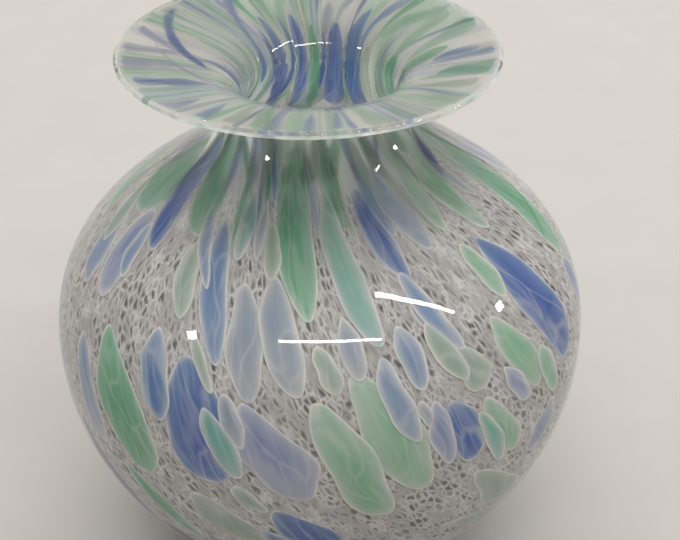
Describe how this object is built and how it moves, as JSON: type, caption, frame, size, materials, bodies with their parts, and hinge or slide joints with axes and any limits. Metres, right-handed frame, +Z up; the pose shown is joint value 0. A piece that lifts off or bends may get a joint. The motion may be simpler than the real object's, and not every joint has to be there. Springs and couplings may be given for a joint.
{
  "type": "hand blown art glass vase",
  "caption": "Round blown glass vase with a short neck and a wide flared lip, white frit and coloured glass chips cased between two clear layers.",
  "frame": {"origin": "centre of the foot, on the plane that it stands on", "axes": "+Z up along the vase's axis, -Y towards the front, +X to the right of someone who faces the front"},
  "size_m": [0.19, 0.19, 0.1943],
  "materials": {
    "clear_casing_glass": "colourless fire-polished glass, glossy",
    "clear_inner_glass": "colourless glass, glossy inside",
    "white_frit_glass": "opal white crushed glass fused into a lace with small see-through gaps",
    "cobalt_glass": "saturated cobalt blue, paler towards the ends of each chip",
    "blue_glass": "mid blue, milky at the edges",
    "navy_glass": "deep violet blue",
    "sky_glass": "pale greyish blue",
    "lilac_glass": "pale lilac blue",
    "emerald_glass": "emerald green, paler towards the ends of each chip",
    "mint_glass": "milky mint green",
    "aqua_glass": "blue-green",
    "sage_glass": "greyish green",
    "slate_glass": "greyish blue"
  },
  "bodies": {
    "root": {"aqua_chip_01": "aqua_glass", "aqua_chip_02": "aqua_glass", "blue_chip_01": "blue_glass", "blue_chip_02": "blue_glass", "blue_chip_03": "blue_glass", "blue_chip_04": "blue_glass", "blue_chip_05": "blue_glass", "blue_chip_06": "blue_glass", "cobalt_chip_01": "cobalt_glass", "cobalt_chip_02": "cobalt_glass", "cobalt_chip_03": "cobalt_glass", "cobalt_chip_04": "cobalt_glass", "cobalt_chip_05": "cobalt_glass", "cobalt_chip_06": "cobalt_glass", "cobalt_chip_07": "cobalt_glass", "cobalt_chip_08": "cobalt_glass", "cobalt_chip_09": "cobalt_glass", "cobalt_chip_10": "cobalt_glass", "cobalt_chip_11": "cobalt_glass", "emerald_chip_01": "emerald_glass", "emerald_chip_02": "emerald_glass", "emerald_chip_03": "emerald_glass", "emerald_chip_04": "emerald_glass", "emerald_chip_05": "emerald_glass", "emerald_chip_06": "emerald_glass", "emerald_chip_07": "emerald_glass", "emerald_chip_08": "emerald_glass", "frit_layer": "white_frit_glass", "inner_wall": "clear_inner_glass", "lilac_chip_01": "lilac_glass", "lilac_chip_02": "lilac_glass", "lilac_chip_03": "lilac_glass", "lilac_chip_04": "lilac_glass", "lilac_chip_05": "lilac_glass", "lilac_chip_06": "lilac_glass", "mint_chip_01": "mint_glass", "mint_chip_02": "mint_glass", "mint_chip_03": "mint_glass", "mint_chip_04": "mint_glass", "mint_chip_05": "mint_glass", "mint_chip_06": "mint_glass", "mint_chip_07": "mint_glass", "mint_chip_08": "mint_glass", "mint_chip_09": "mint_glass", "navy_chip_01": "navy_glass", "navy_chip_02": "navy_glass", "outer_casing": "clear_casing_glass", "sage_chip_01": "sage_glass", "sage_chip_02": "sage_glass", "sage_chip_03": "sage_glass", "sage_chip_04": "sage_glass", "sage_chip_05": "sage_glass", "sky_chip_01": "sky_glass", "sky_chip_02": "sky_glass", "sky_chip_03": "sky_glass", "sky_chip_04": "sky_glass", "sky_chip_05": "sky_glass", "sky_chip_06": "sky_glass", "slate_chip_01": "slate_glass", "slate_chip_02": "slate_glass"}
  },
  "joints": []
}
